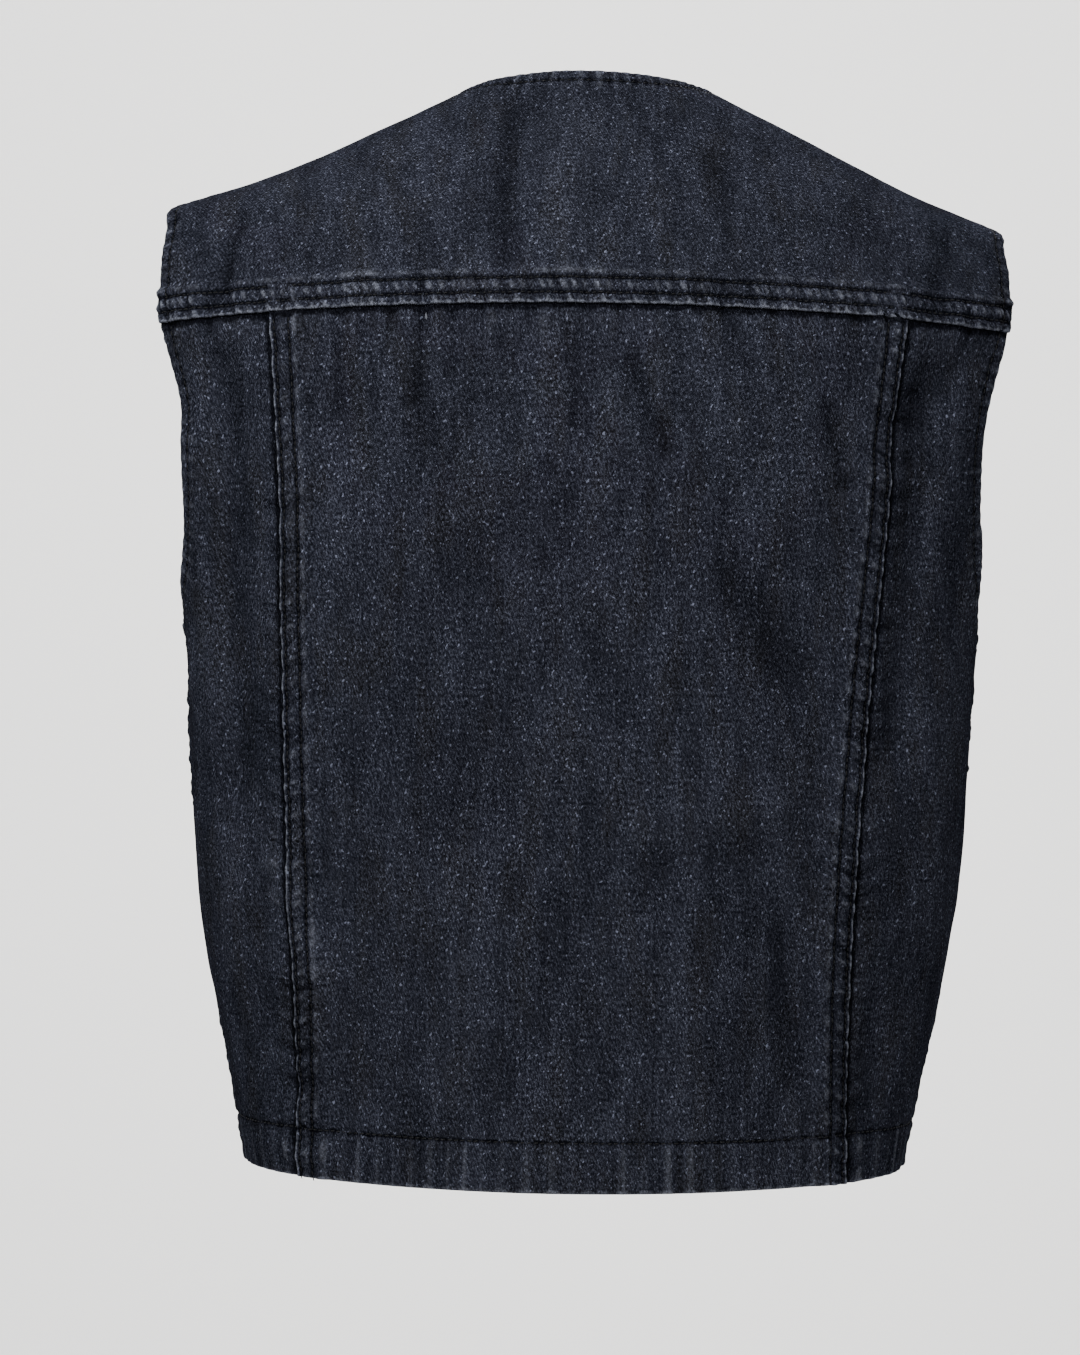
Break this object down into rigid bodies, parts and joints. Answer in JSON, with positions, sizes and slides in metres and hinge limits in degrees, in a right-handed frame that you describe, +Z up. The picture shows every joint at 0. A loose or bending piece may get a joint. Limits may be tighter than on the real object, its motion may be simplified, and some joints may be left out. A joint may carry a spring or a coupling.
{
  "type": "denim vest",
  "caption": "Sleeveless, collarless denim vest in its hollow worn shape, with a back yoke over the shoulders, curved back seams, a turned hem and a front closed with shank buttons.",
  "frame": {"origin": "middle of the neck opening, level with the top of the shoulder line, where the garment hangs on its wearer", "axes": "+Z up towards the neck, -Y towards the garment's front, +X towards the wearer's left"},
  "size_m": [0.4178, 0.2488, 0.5416],
  "materials": {
    "denim": "washed black denim, matt, a 3/1 twill with paler flecks and worn seam edges",
    "thread": "thick matt black sewing thread",
    "button_metal": "aged dark metal, satin, rubbed paler on the rim"
  },
  "bodies": {
    "root": {"yoke": "denim", "back_center": "denim", "back_side_left": "denim", "front_left": "denim", "back_side_right": "denim", "front_right": "denim", "button_1": "button_metal", "button_2": "button_metal", "button_3": "button_metal", "button_4": "button_metal", "button_5": "button_metal", "button_6": "button_metal"}
  },
  "joints": []
}
